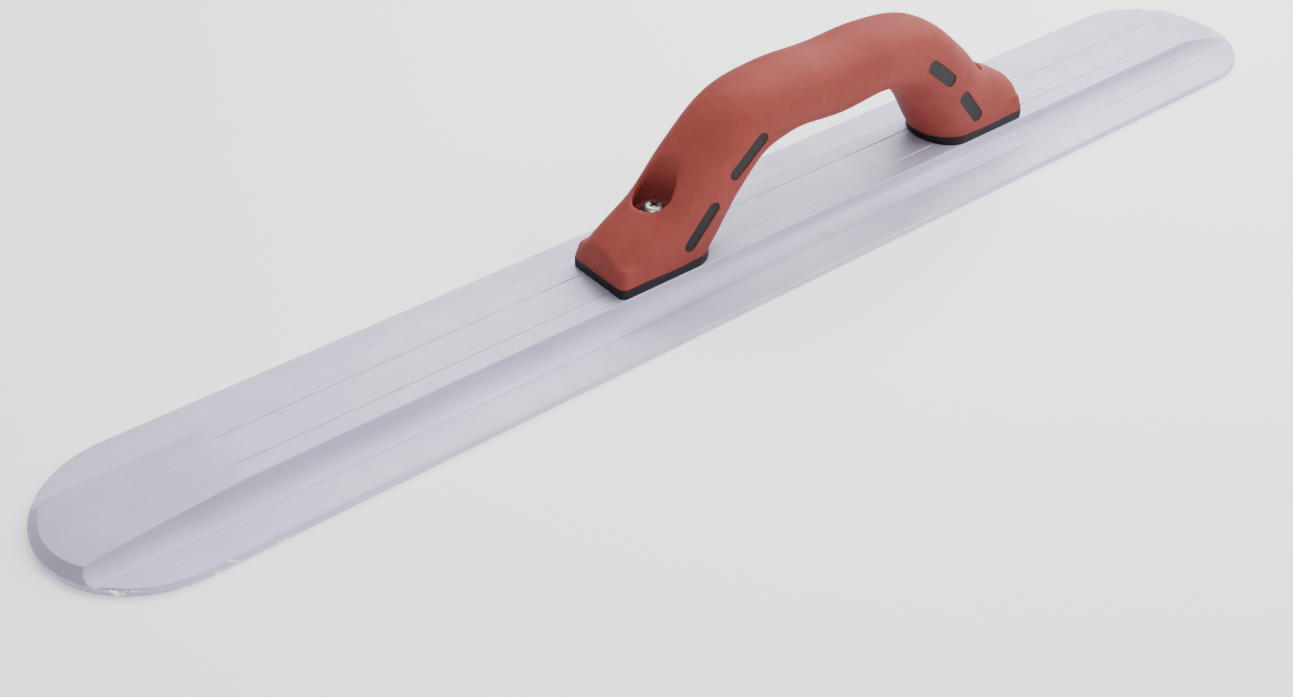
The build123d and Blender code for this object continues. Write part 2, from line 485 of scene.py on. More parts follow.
@dataclass(frozen=True)
class Finish:
    """What every finish has: a name, a colour and a roughness."""

    name: str
    colour: Place
    roughness: float
    metallic: float = 0.0
    gloss: float = 0.5

    def make(self) -> bpy.types.Material:
        """Builds the material.

        Returns:
            The finished material.
        """
        material = bpy.data.materials.new(self.name)
        material.use_nodes = True
        shader = material.node_tree.nodes["Principled BSDF"]
        shader.inputs["Metallic"].default_value = self.metallic
        shader.inputs["Specular IOR Level"].default_value = self.gloss
        graph = Graph(material.node_tree)
        self.paint(graph, shader, graph.add("TexCoord").outputs["Object"])
        return material

    def tint(self, share: float) -> tuple[float, float, float, float]:
        """Works out a lighter or darker tint of the colour, with full alpha."""
        red, green, blue = (min(1.0, share * part) for part in self.colour)
        return (red, green, blue, 1.0)

    def bump(
        self, graph: Graph, shader: bpy.types.Node, height: bpy.types.NodeSocket, depth: float
    ) -> None:
        """Gives the surface a fine relief, depth being the height of a step from 0 to 1."""
        bump = graph.add("Bump", {"Strength": 1.0, "Distance": depth, "Height": height})
        graph.feed(shader, {"Normal": bump.outputs[0]})

    def paint(self, graph: Graph, shader: bpy.types.Node, place: bpy.types.NodeSocket) -> None:
        """Adds the finish's own nodes; the plain finish has only grain and mottle.

        Args:
            graph: The material's graph.
            shader: Its Principled shader.
            place: Object coordinates.
        """
        mottle = Effect.MOTTLE.place(graph, place, Scale=40.0)
        grain = Effect.GRAIN.place(graph, place, Scale=2200.0)
        rough = graph.math("MULTIPLY_ADD", grain, 0.12, self.roughness - 0.06)
        colour = graph.blend(mottle, self.tint(0.93), self.tint(1.07))
        graph.feed(shader, {"Base Color": colour, "Roughness": rough})
        self.bump(graph, shader, grain, 0.02 * MM)


@dataclass(frozen=True)
class Magnesium(Finish):
    """Bare drawn magnesium: dull sheen, faint lengthwise lines, a chipped rim."""

    rim_radius: float = 39.7 * MM
    rim_straight: float = 265.1 * MM
    rim_band: float = 1.1 * MM
    chipped_end: float = -0.2

    def rim_mask(self, graph: Graph, place: bpy.types.NodeSocket) -> bpy.types.NodeSocket:
        """Marks a narrow band along the outline of the blade.

        Args:
            graph: The material's graph.
            place: Object coordinates.

        Returns:
            1 on the rim, 0 inside.
        """
        parts = graph.add("SeparateXYZ", {0: place})
        past = graph.math("SUBTRACT", graph.math("ABSOLUTE", parts.outputs[0]), self.rim_straight)
        past = graph.math("MAXIMUM", past, 0.0)
        square = graph.math("ADD", graph.math("POWER", past, 2.0), graph.math("POWER", parts.outputs[1], 2.0))
        inner = self.rim_radius - self.rim_band
        return graph.ramp(graph.math("SQRT", square), inner, inner + 0.6 * self.rim_band)

    def paint(self, graph: Graph, shader: bpy.types.Node, place: bpy.types.NodeSocket) -> None:
        """Adds drawing lines, stains, specks and rim chips.

        Args:
            graph: The material's graph.
            shader: Its Principled shader.
            place: Object coordinates.
        """
        mottle = Effect.MOTTLE.place(graph, place, Scale=16.0)
        cloud = Effect.MOTTLE.place(graph, place, Scale=90.0)
        streaks = Effect.STREAKS.place(graph, place, Scale=520.0, Stretch=0.012)
        grain = Effect.GRAIN.place(graph, place, Scale=1500.0)
        specks = Effect.SCUFFS.place(graph, place, Scale=330.0, Cover=0.26)
        chips = Effect.SCUFFS.place(graph, place, Scale=210.0, Cover=0.42)
        along = graph.add("SeparateXYZ", {0: place}).outputs[0]
        chipped = graph.math("MULTIPLY", self.rim_mask(graph, place), chips)
        front = graph.ramp(graph.math("MULTIPLY", along, -1.0), -self.chipped_end, -self.chipped_end + 0.05)
        chipped = graph.math("MULTIPLY", chipped, front)
        share = graph.math("MULTIPLY_ADD", streaks, 0.35, graph.math("MULTIPLY", mottle, 0.4))
        share = graph.math("MULTIPLY_ADD", cloud, 0.25, share)
        colour = graph.blend(share, self.tint(0.86), self.tint(1.1))
        colour = graph.blend(graph.math("MULTIPLY", specks, 0.45), colour, self.tint(0.6))
        colour = graph.blend(chipped, colour, (0.95, 0.95, 0.96, 1.0))
        rough = graph.math("MULTIPLY_ADD", share, -0.08, self.roughness + 0.05)
        rough = graph.math("MULTIPLY_ADD", chipped, -0.32, rough)
        metal = graph.math("MULTIPLY_ADD", chipped, 1.0 - self.metallic, self.metallic)
        graph.feed(shader, {"Base Color": colour, "Roughness": rough, "Metallic": metal})
        height = graph.math("MULTIPLY_ADD", streaks, 0.6, graph.math("MULTIPLY", grain, 0.5))
        height = graph.math("MULTIPLY_ADD", chipped, -20.0, height)
        self.bump(graph, shader, height, 0.012 * MM)


@dataclass(frozen=True)
class SoftGrip(Finish):
    """Soft rubbery grip: satin skin, very fine grain, handling sheen."""

    def paint(self, graph: Graph, shader: bpy.types.Node, place: bpy.types.NodeSocket) -> None:
        """Adds grain, soft blotches and polished patches.

        Args:
            graph: The material's graph.
            shader: Its Principled shader.
            place: Object coordinates.
        """
        blotches = Effect.MOTTLE.place(graph, place, Scale=28.0)
        fine = Effect.MOTTLE.place(graph, place, Scale=240.0)
        grain = Effect.GRAIN.place(graph, place, Scale=2600.0)
        share = graph.math("MULTIPLY_ADD", fine, 0.35, graph.math("MULTIPLY", blotches, 0.65))
        marks = Effect.SCUFFS.place(graph, place, Scale=180.0, Cover=0.27)
        colour = graph.blend(share, self.tint(0.88), self.tint(1.12))
        colour = graph.blend(graph.math("MULTIPLY", marks, 0.4), colour, self.tint(0.62))
        rough = graph.math("MULTIPLY_ADD", blotches, -0.1, self.roughness + 0.05)
        rough = graph.math("MULTIPLY_ADD", grain, 0.1, rough)
        graph.feed(shader, {"Base Color": colour, "Roughness": rough})
        self.bump(graph, shader, grain, 0.03 * MM)


@dataclass(frozen=True)
class Paper(Finish):
    """Plain pale backdrop paper, lit a little from below."""

    glow: float = 0.6

    def paint(self, graph: Graph, shader: bpy.types.Node, place: bpy.types.NodeSocket) -> None:
        """Leaves the paper plain.

        Args:
            graph: The material's graph.
            shader: Its Principled shader.
            place: Object coordinates.
        """
        paper = self.tint(1.0)
        values = {"Base Color": paper, "Emission Color": paper, "Emission Strength": self.glow}
        graph.feed(shader, {**values, "Roughness": self.roughness})


@dataclass(frozen=True)
class BrightSteel(Finish):
    """Plated steel with fine turning marks."""

    def paint(self, graph: Graph, shader: bpy.types.Node, place: bpy.types.NodeSocket) -> None:
        """Adds small dull patches and tool marks.

        Args:
            graph: The material's graph.
            shader: Its Principled shader.
            place: Object coordinates.
        """
        patches = Effect.MOTTLE.place(graph, place, Scale=420.0)
        grain = Effect.GRAIN.place(graph, place, Scale=5200.0)
        specks = Effect.SCUFFS.place(graph, place, Scale=900.0, Cover=0.3)
        colour = graph.blend(patches, self.tint(0.88), self.tint(1.04))
        colour = graph.blend(graph.math("MULTIPLY", specks, 0.5), colour, self.tint(0.6))
        rough = graph.math("MULTIPLY_ADD", patches, 0.15, self.roughness - 0.05)
        graph.feed(shader, {"Base Color": colour, "Roughness": rough})
        self.bump(graph, shader, grain, 0.006 * MM)


def dress(piece: bpy.types.Object, finish: Finish, node: str) -> None:
    """Gives a finished piece its material and its place in the frame.

    Args:
        piece: The finished piece.
        finish: Its finish.
        node: The CAD node that it stands for.
    """
    piece.data.materials.clear()
    piece.data.materials.append(finish.make())
    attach(piece, "root")
    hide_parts(node)
    LOG.info("%s: %d faces", piece.name, len(piece.data.polygons))


# ---------------------------------------------------------------------- blade


@dataclass
class Blade:
    """The magnesium blade: raised rail, coves and flanges, with ground ends."""

    rim: float = 2.9 * MM
    flange_rise: float = 0.3 * MM
    rail_width: float = 32.9 * MM
    rail_round: float = 0.6 * MM
    cove_floor: float = 2.6 * MM
    cove_lip: float = 2.0 * MM
    cove_steps: int = 24
    round_steps: int = 4
    groove_spacing: float = 16.2 * MM
    groove_width: float = 0.7 * MM
    groove_depth: float = 0.45 * MM
    end_sides: int = 256
    lower_round: float = 0.35 * MM
    upper_round: float = 0.55 * MM
    front_taper: float = 67.8 * MM
    front_roll: float = 20.0 * MM
    front_roll_height: float = 7.6 * MM
    front_tip_height: float = 5.4 * MM
    roll_cuts: int = 6
    rear_taper: float = 36.8 * MM
    rear_tip_height: float = 2.5 * MM
    low: Vector = field(default_factory=lambda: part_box("blade")[0])
    high: Vector = field(default_factory=lambda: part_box("blade")[1])

    def half_section(self) -> list[tuple[float, float]]:
        """Works out one side of the cross-section, from the edge to the middle.

        Returns:
            Corners across the blade, each with its height.
        """
        rail, top = self.rail_width / 2, self.high.z
        radius = top - self.cove_floor
        middle = rail + radius
        edge = self.high.y + MM
        fall = self.flange_rise * MM / (self.high.y - middle - self.cove_lip)
        side = [(edge, -MM), (edge, self.rim - fall), (middle + self.cove_lip, self.rim + self.flange_rise)]
        last = math.acos(self.rail_round / radius)
        for step in range(self.cove_steps + 1):
            angle = last * step / self.cove_steps
            side.append((middle - radius * math.sin(angle), top - radius * math.cos(angle)))
        for step in range(1, self.round_steps + 1):
            angle = math.radians(90 * step / self.round_steps)
            across = self.rail_round * (1 - math.cos(angle))
            side.append((rail - across, top - self.rail_round * (1 - math.sin(angle))))
        groove, half = self.groove_spacing / 2, self.groove_width / 2
        side += [(groove + half, top), (groove, top - self.groove_depth), (groove - half, top)]
        return side

    def build(self) -> bpy.types.Object:
        """Models the blade.

        Returns:
            The blade.
        """
        side = self.half_section()
        outline = side + [(-y, z) for y, z in reversed(side)]
        bar = draw("blade_body", [Vector((self.low.x - MM, y, z)) for y, z in outline])
        thicken(bar, Vector((self.high.x - self.low.x + 2 * MM, 0, 0)))
        combine(bar, self.crown(), Cut.COMMON)
        for slope in self.slopes():
            combine(bar, self.waste(slope), Cut.AWAY)
        face_outwards(bar)
        smooth(bar, math.radians(24))
        apply_modifier(bar, "WEIGHTED_NORMAL", keep_sharp=True, weight=100)
        return bar

    def crown(self) -> bpy.types.Object:
        """Models the round-ended block that trims the bar, leaning in above the rim.

        Returns:
            The block.
        """
        radius = self.high.y
        shift = self.high.x - radius
        deselect()
        bpy.ops.mesh.primitive_circle_add(
            vertices=self.end_sides, radius=radius, fill_type="NGON", location=(0, 0, self.lower_round)
        )
        block = take("blade_crown")
        with editing(block, "VERT"):
            for side in (-1, 1):
                pick_verts(block, lambda at: side * at.x > radius / self.end_sides)
                bpy.ops.transform.translate(value=(side * shift, 0, 0))
        lean = self.high.z - self.rim + MM
        # Each step goes inwards by its first value, then up or down by its second.
        wall = self.rim - self.upper_round - self.lower_round
        half_round = self.upper_round / 2
        rises = [(0.0, wall), (0.1 * MM, half_round), (0.35 * MM, half_round), (lean, lean)]
        falls = [(0.1 * MM, 0.25 * MM), (0.25 * MM, 0.1 * MM)]
        with editing(block, whole=True):
            bpy.ops.mesh.extrude_region_move(TRANSFORM_OT_translate={"value": (0, 0, rises[0][1])})
            for inwards, up in rises[1:]:
                bpy.ops.mesh.inset(thickness=inwards)
                bpy.ops.transform.translate(value=(0, 0, up))
            bottom = self.lower_round + 0.01 * MM
            pick_faces(block, lambda at, out: at.z < bottom)
            for inwards, down in falls:
                bpy.ops.mesh.inset(thickness=inwards)
                bpy.ops.transform.translate(value=(0, 0, -down))
        face_outwards(block)
        return block

    def slopes(self) -> list[list[Vector]]:
        """Works out the lines of the slopes ground on the rail at both ends.

        Returns:
            The front slope, which rolls off at the tip, and the rear slope.
        """
        top = self.high.z
        start = Vector((self.low.x + self.front_taper, 0, top))
        roll = Vector((self.low.x + self.front_roll, 0, self.front_roll_height))
        slope = (start.z - roll.z) / (start.x - roll.x)
        extra = (roll.z - self.front_tip_height) - slope * self.front_roll
        front = [start - (roll - start) * 0.1, roll]
        for step in range(1, self.roll_cuts + 2):
            share = step / self.roll_cuts
            drop = slope * self.front_roll * share + extra * share**1.8
            front.append(Vector((roll.x - self.front_roll * share, 0, roll.z - drop)))
        rear_start = Vector((self.high.x - self.rear_taper, 0, top))
        rear = Vector((self.high.x, 0, self.rear_tip_height))
        reach = (rear - rear_start) * 0.1
        return [front, [rear_start - reach, rear + reach]]

    def waste(self, slope: list[Vector]) -> bpy.types.Object:
        """Models the body above a slope.

        Args:
            slope: The slope's line, its upper end first.

        Returns:
            A block wider than the blade.
        """
        side = Vector((0, -2 * self.high.y, 0))
        upper = Vector((slope[-1].x, 0, slope[0].z))
        block = draw("ground_away", [point + side for point in slope + [upper]])
        thicken(block, side * -2)
        return block


# --------------------------------------------------------------------- handle


@dataclass(frozen=True)
class Ring:
    """One cross-section of the handle's arch."""

    x: float
    z: float
    thick: float
    wide: float
    angle: float = 0.0


@dataclass
class Arch:
    """The arched bar of the handle, from below one foot to below the other.

    A station holds the distance from the foot's outer end, the height as a share of the
    rise, half the thickness and half the width. The crest has no distance of its own.
    """

    stations: tuple[tuple[float, float, float, float], ...] = (
        (4.3, -0.232, 25.5, 16.0),
        (19.5, 0.021, 23.0, 16.3),
        (34.8, 0.265, 19.7, 16.6),
        (50.5, 0.631, 16.6, 17.0),
        (67.8, 0.919, 14.9, 17.0),
        (86.5, 1.0, 13.4, 17.0),
    )
    crest: tuple[float, float, float] = (0.981, 13.8, 17.0)
    rise: float = 51.7 * MM
    corner: float = 0.5612
    corner_steps: int = 12
    steps: int = 6
    low: Vector = field(default_factory=lambda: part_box("handle_grip")[0])
    high: Vector = field(default_factory=lambda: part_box("handle_grip")[1])
    deck: float = field(default_factory=lambda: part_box("blade")[1].z)

    @property
    def middle(self) -> float:
        """Place of the handle's middle along the blade."""
        return (self.low.x + self.high.x) / 2

    def knots(self) -> list[Ring]:
        """Lists the given cross-sections from front to rear."""
        half = (self.high.x - self.low.x) / 2
        front = [
            Ring(self.middle - half + far * MM, self.deck + share * self.rise, thick * MM, wide * MM)
            for far, share, thick, wide in self.stations
        ]
        rear = [Ring(2 * self.middle - ring.x, ring.z, ring.thick, ring.wide) for ring in reversed(front)]
        share, thick, wide = self.crest
        return front + [Ring(self.middle, self.deck + share * self.rise, thick * MM, wide * MM)] + rear

    def rings(self) -> list[Ring]:
        """Runs a smooth line through the given cross-sections.

        Returns:
            Closely spaced rings, each with the slope of the line.
        """
        knots = self.knots()
        rows = [Vector((ring.x, ring.z, ring.thick, ring.wide)) for ring in knots]
        gaps = [(rows[i + 1].xy - rows[i].xy).length for i in range(len(rows) - 1)]
        slopes = []
        for i, row in enumerate(rows):
            if i in (0, len(rows) - 1):
                near = 0 if i == 0 else i - 1
                slopes.append((rows[near + 1] - rows[near]) / gaps[near])
                continue
            before = (row - rows[i - 1]) / gaps[i - 1]
            after = (rows[i + 1] - row) / gaps[i]
            slopes.append((before * gaps[i] + after * gaps[i - 1]) / (gaps[i - 1] + gaps[i]))
        run = []
        for i, gap in enumerate(gaps):
            last = i == len(gaps) - 1
            for step in range(self.steps + last):
                t = step / self.steps
                rest = 1 - t
                spot = rows[i] * (rest * rest * (1 + 2 * t)) + rows[i + 1] * (t * t * (3 - 2 * t))
                spot += (slopes[i] * rest - slopes[i + 1] * t) * (gap * t * rest)
                run.append(spot)
        return [self.ring_at(run, i) for i in range(len(run))]

    @staticmethod
    def ring_at(run: list[Vector], i: int) -> Ring:
        """Makes the ring at point i of the line, turned square to the line."""
        way = run[min(i + 1, len(run) - 1)] - run[max(i - 1, 0)]
        return Ring(run[i][0], run[i][1], run[i][2], run[i][3], math.atan2(way[1], way[0]))

    def centre(self, from_end: float, side: int) -> Vector:
        """Finds the point of the arch's centre line at a distance from a foot's end.

        Args:
            from_end: Distance from the outer end of the foot.
            side: -1 for the front foot, 1 for the rear.

        Returns:
            The point.
        """
        x = self.middle + side * ((self.high.x - self.low.x) / 2 - from_end)
        rings = self.rings()
        for one, two in zip(rings, rings[1:]):
            if one.x <= x <= two.x:
                share = (x - one.x) / (two.x - one.x)
                return Vector((x, 0, one.z + share * (two.z - one.z)))
        raise ValueError("outside the arch")

    def body(self, name: str, inset: float) -> bpy.types.Object:
        """Models the bar by pulling one rounded section from ring to ring.

        Args:
            name: The piece's name.
            inset: How far the skin lies below the grip's.

        Returns:
            A closed bar.
        """
        rings = self.rings()
        deselect()
        bpy.ops.mesh.primitive_plane_add(size=2.0, location=(0, 0, 0))
        bar = take(name)
        first = rings[0]
        start = Vector((first.x, 0, first.z))
        with editing(bar, "VERT", whole=True):
            bpy.ops.mesh.bevel(
                offset=1.0,
                segments=self.corner_steps,
                profile=self.corner,
                affect="VERTICES",
                clamp_overlap=False,
            )
            bpy.ops.mesh.select_all(action="SELECT")
            bpy.ops.mesh.remove_doubles(threshold=0.0001)
            bpy.ops.mesh.select_all(action="SELECT")
            turn(math.radians(90), Vector((0, 0, 0)))
            size = (1, first.wide - inset, first.thick - inset)
            bpy.ops.transform.resize(value=size, center_override=(0, 0, 0))
            bpy.ops.transform.translate(value=start)
            turn(-first.angle, start)
        with editing(bar, whole=True):
            for one, two in zip(rings, rings[1:]):
                at = Vector((two.x, 0, two.z))
                step = at - Vector((one.x, 0, one.z))
                bpy.ops.mesh.extrude_region_move(TRANSFORM_OT_translate={"value": step})
                turn(one.angle, at)
                size = (1, (two.wide - inset) / (one.wide - inset), (two.thick - inset) / (one.thick - inset))
                bpy.ops.transform.resize(value=size, center_override=at)
                turn(-two.angle, at)
        face_outwards(bar)
        return bar


def turn(angle: float, centre: Vector) -> None:
    """Turns what is selected about the Y axis through a point, from +Z towards +X."""
    bpy.ops.transform.rotate(value=-angle, orient_axis="Y", center_override=centre)


@dataclass
class Handle:
    """The handle: a hard core and the soft grip moulded over it."""

    foot_width: float = 32.0 * MM
    foot_flat: float = 37.6 * MM
    foot_nose: float = 13.0 * MM
    plate: float = 4.2 * MM
    plate_round: float = 0.35 * MM
    corner: float = 3.0 * MM
    corner_steps: int = 6
    nose_steps: int = 24
    skirt: float = 7.0 * MM
    draft: float = math.radians(14)
    wall: float = 3.0 * MM
    windows: tuple[tuple[float, float], ...] = ((32.0, 44.6), (53.2, 68.0))
    window_width: float = 5.9 * MM
    window_play: float = 0.1 * MM
    land_sink: float = 0.4 * MM
    well: float = 16.7 * MM
    well_wall: float = 2.0 * MM
    well_foot: float = 2.0 * MM
    rim_band: float = 1.4 * MM
    rim_passes: int = 12
    bore: float = 5.3 * MM
    end_round: float = 1.2 * MM
    plate_edge: float = 2.5 * MM
    blend_height: float = 14.0 * MM
    blend_passes: int = 8
    spare: float = 2.0 * MM
    voxel: float = 0.75 * MM
    arch: Arch = field(default_factory=Arch)

    @property
    def plate_top(self) -> float:
        """Height of the foot plates' upper faces."""
        return self.arch.deck + self.plate

    @property
    def seat(self) -> float:
        """Height of the washers' seats."""
        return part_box("washer_front")[0].z

    def screws(self) -> list[float]:
        """Lists the places of the screws along the blade."""
        return [(low.x + high.x) / 2 for low, high in (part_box("screw_front"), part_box("screw_rear"))]

    def foot(self, side: int, name: str) -> bpy.types.Object:
        """Draws the plan of one foot at the height of the plate's top.

        Args:
            side: -1 for the front foot, 1 for the rear.
            name: The piece's name.

        Returns:
            A flat piece.
        """
        outer = (self.arch.high.x - self.arch.low.x) / 2
        inner = outer - self.foot_flat
        half = self.foot_width / 2
        corner = []
        for step in range(self.corner_steps + 1):
            angle = math.radians(90 * step / self.corner_steps)
            corner.append((self.corner * (1 - math.cos(angle)), self.corner * (1 - math.sin(angle))))
        points = [(outer - along, half - across) for along, across in corner]
        for step in range(self.nose_steps + 1):
            angle = math.radians(180 * step / self.nose_steps)
            points.append((inner - self.foot_nose * math.sin(angle), half * math.cos(angle)))
        points += [(outer - across, along - half) for along, across in corner]
        places = [Vector((self.arch.middle + side * x, y, self.plate_top)) for x, y in points]
        return draw(name, places)

    def trimmed(self, name: str, inset: float, shorter: float, below: float = 0.0) -> bpy.types.Object:
        """Models the arch, sawn off square at both ends and level on the plates.

        Args:
            name: The piece's name.
            inset: How far the skin lies below the grip's.
            shorter: How far each end stays back.
            below: How far the legs reach below the plates' upper faces.

        Returns:
            The bar with its legs.
        """
        bar = self.arch.body(name, inset)
        slice_off(bar, Vector((0, 0, self.plate_top - below)), Vector((0, 0, -1)))
        slice_off(bar, Vector((self.arch.low.x + shorter, 0, 0)), Vector((-1, 0, 0)))
        slice_off(bar, Vector((self.arch.high.x - shorter, 0, 0)), Vector((1, 0, 0)))
        face_outwards(bar)
        return bar

    def window_bars(self, play: float = 0.0) -> list[bpy.types.Object]:
        """Models the slot-shaped bars that go across the handle at the windows.

        Args:
            play: How much slimmer the bars are than the windows.

        Returns:
            The bars, the front foot's first.
        """
        bars = []
        for side in (-1, 1):
            for near, far in self.windows:
                start, end = self.arch.centre(near * MM, side), self.arch.centre(far * MM, side)
                bars.append(self.window_bar(start, end, play))
        return bars

    def window_bar(self, start: Vector, end: Vector, play: float) -> bpy.types.Object:
        """Models one slot-shaped bar, from a cylinder with its halves moved apart.

        Args:
            start: The lower end of the window's middle line.
            end: Its upper end.
            play: How much slimmer the bar is than its window.

        Returns:
            The bar.
        """
        way = end - start
        radius = self.window_width / 2
        spread = (way.length - radius) / 2
        radius -= play / 2
        deselect()
        bpy.ops.mesh.primitive_cylinder_add(vertices=32, radius=radius, depth=3 * self.foot_width)
        bar = take("window_bar")
        with editing(bar, "VERT"):
            for side in (-1, 1):
                pick_verts(bar, lambda at: side * at.x > radius / 50)
                bpy.ops.transform.translate(value=(side * spread, 0, 0))
        lie = Matrix.Rotation(math.radians(90), 4, "X")
        lean = Matrix.Rotation(-math.atan2(way.z, way.x), 4, "Y")
        bar.matrix_world = Matrix.Translation((start + end) / 2) @ lean @ lie
        settle(bar)
        return bar

    def blank(self) -> bpy.types.Object:
        """Models the hard core before its bores.

        Returns:
            Inner bar, foot plates and lands, cut out round the wells.
        """
        core = self.trimmed("core_blank", self.wall, self.wall)
        sunk = self.trimmed("sunk_bar", self.land_sink, 0.0)
        for bar in self.window_bars(self.window_play):
            combine(bar, sunk, Cut.COMMON, keep=True)
            combine(core, bar, Cut.TOGETHER)
        bpy.data.objects.remove(sunk)
        for side in (-1, 1):
            plate = self.foot(side, "foot_plate")
            thicken(plate, Vector((0, 0, -self.plate)))
            bevel_edges(plate, self.plate_round, 2, lambda at, angle: angle > SHARP)
            combine(core, plate, Cut.TOGETHER)
        for x in self.screws():
            lined = rod("lined_well", self.well / 2 + self.well_wall, self.seat, self.seat + 0.1, x)
            combine(core, lined, Cut.AWAY)
        face_outwards(core)
        return core

    def build_core(self, blank: bpy.types.Object) -> bpy.types.Object:
        """Finishes the hard core.

        Args:
            blank: The core before its bores.

        Returns:
            The core.
        """
        core = copy_of(blank, "core_body")
        for x in self.screws():
            combine(core, rod("bore", self.bore / 2, 0.0, self.seat + MM, x, 48), Cut.AWAY)
        face_outwards(core)
        smooth(core, math.radians(40))
        return core

    def build_grip(self, blank: bpy.types.Object) -> bpy.types.Object:
        """Models the soft grip and hollows it out round the core.

        Args:
            blank: The core before its bores.

        Returns:
            The grip.
        """
        grip = self.trimmed("grip_body", 0.0, 0.0, self.spare)
        reach = self.arch.high.x - self.arch.middle - 0.05 * MM

        def at_end(at: Vector, angle: float) -> bool:
            """Tells whether an edge runs round the cut at either end."""
            return angle > math.radians(30) and abs(at.x - self.arch.middle) > reach

        bevel_edges(grip, self.end_round, 4, at_end)
        weld(grip, [self.build_skirt(side) for side in (-1, 1)])
        apply_modifier(grip, "REMESH", mode="VOXEL", voxel_size=self.voxel, adaptivity=0.0)
        axes, seat = self.screws(), self.seat
        for x in axes:
            combine(grip, rod("well", self.well / 2, seat, 4 * seat, x, 128), Cut.AWAY)
        apply_modifier(grip, "REMESH", mode="VOXEL", voxel_size=self.voxel, adaptivity=0.0)
        apply_modifier(grip, "SMOOTH", factor=0.5, iterations=6)
        low, high = self.plate_top + self.plate_edge, self.plate_top + self.blend_height
        floor = seat + self.well_foot

        def by_well(at: Vector) -> bool:
            """Tells whether a point lies on or close to the wall of a well."""
            gap = min(abs(math.hypot(at.x - x, at.y) - self.well / 2) for x in axes)
            return at.z > floor and gap < self.rim_band

        soften(grip, self.blend_passes, lambda at: low < at.z < high)
        soften(grip, self.rim_passes, by_well)
        for bar in self.window_bars():
            combine(grip, bar, Cut.AWAY)
        slice_off(grip, Vector((0, 0, self.plate_top)), Vector((0, 0, -1)))
        combine(grip, blank, Cut.AWAY)
        smooth(grip, math.radians(50))
        return grip

    def build_skirt(self, side: int) -> bpy.types.Object:
        """Models the skirt of one foot, leaning in from the plate's outline.

        Args:
            side: -1 for the front foot, 1 for the rear.

        Returns:
            The skirt, with spare height below.
        """
        skirt = self.foot(side, "skirt")
        with editing(skirt, whole=True):
            bpy.ops.transform.translate(value=(0, 0, -self.spare))
            bpy.ops.mesh.extrude_region_move(TRANSFORM_OT_translate={"value": (0, 0, self.spare)})
            bpy.ops.mesh.inset(thickness=self.skirt * math.tan(self.draft))
            bpy.ops.transform.translate(value=(0, 0, self.skirt))
        face_outwards(skirt)
        return skirt

    def build(self) -> tuple[bpy.types.Object, bpy.types.Object]:
        """Models both parts of the handle.

        Returns:
            The core and the grip.
        """
        blank = self.blank()
        return self.build_core(blank), self.build_grip(blank)


# ------------------------------------------------------------------ fasteners


@dataclass
class Fasteners:
    """A pan-head screw and its flat washer, modelled once and copied to both feet."""

    head_round: float = 2.2 * MM
    recess_span: float = 5.0 * MM
    recess_width: float = 1.2 * MM
    recess_depth: float = 1.8 * MM
    recess_taper: float = 0.72
    stem_round: float = 0.6 * MM
    washer_round: float = 0.18 * MM
    shank: float = 4.83 * MM
    head: float = 9.5 * MM
    bore: float = 5.6 * MM
    low: Vector = field(default_factory=lambda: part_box("screw_front")[0])
    high: Vector = field(default_factory=lambda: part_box("screw_front")[1])
    ring_low: Vector = field(default_factory=lambda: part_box("washer_front")[0])
    ring_high: Vector = field(default_factory=lambda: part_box("washer_front")[1])

    @property
    def x(self) -> float:
        """Place of the front screw along the blade."""
        return (self.low.x + self.high.x) / 2

    def build_screw(self) -> bpy.types.Object:
        """Models the front screw.

        Returns:
            The screw.
        """
        under = self.ring_high.z
        screw = rod("screw_front_body", self.head / 2, under, self.high.z, self.x, 72)
        top = self.high.z - 0.01 * MM
        bevel_edges(screw, self.head_round, 8, lambda at, angle: at.z > top and angle > SHARP)
        for span, width in ((self.recess_span, self.recess_width), (self.recess_width, self.recess_span)):
            deselect()
            bpy.ops.mesh.primitive_cube_add(size=2.0, location=(self.x, 0, self.high.z))
            tool = bpy.context.view_layer.objects.active
            tool.scale = (span / 2, width / 2, self.recess_depth)
            settle(tool)
            with editing(tool):
                pick_faces(tool, lambda at, out: out.z < -0.5)
                size = (self.recess_taper, self.recess_taper, 1)
                bpy.ops.transform.resize(value=size, center_override=(self.x, 0, self.high.z))
            combine(screw, tool, Cut.AWAY)
        stem = rod("stem", self.shank / 2, self.low.z, under + 0.2 * MM, self.x, 48)
        bottom = self.low.z + 0.01 * MM
        bevel_edges(stem, self.stem_round, 1, lambda at, angle: at.z < bottom and angle > SHARP)
        combine(screw, stem, Cut.TOGETHER)
        face_outwards(screw)
        smooth(screw, math.radians(35))
        return screw

    def build_washer(self) -> bpy.types.Object:
        """Models the front washer.

        Returns:
            The washer.
        """
        radius = (self.ring_high.x - self.ring_low.x) / 2
        washer = rod("washer_front_body", radius, self.ring_low.z, self.ring_high.z, self.x, 96)
        bevel_edges(washer, self.washer_round, 2, lambda at, angle: angle > SHARP)
        combine(washer, rod("washer_bore", self.bore / 2, 0.0, self.high.z, self.x, 64), Cut.AWAY)
        smooth(washer, math.radians(35))
        return washer

    def build(self) -> dict[str, bpy.types.Object]:
        """Models the fasteners of both feet.

        Returns:
            The pieces by the name of the CAD node that each stands for.
        """
        rear = (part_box("screw_rear")[0].x - self.low.x, 0, 0)
        screw, washer = self.build_screw(), self.build_washer()
        return {
            "screw_front": screw,
            "washer_front": washer,
            "screw_rear": copy_of(screw, "screw_rear_body", rear),
            "washer_rear": copy_of(washer, "washer_rear_body", rear),
        }


# --------------------------------------------------------------------- studio


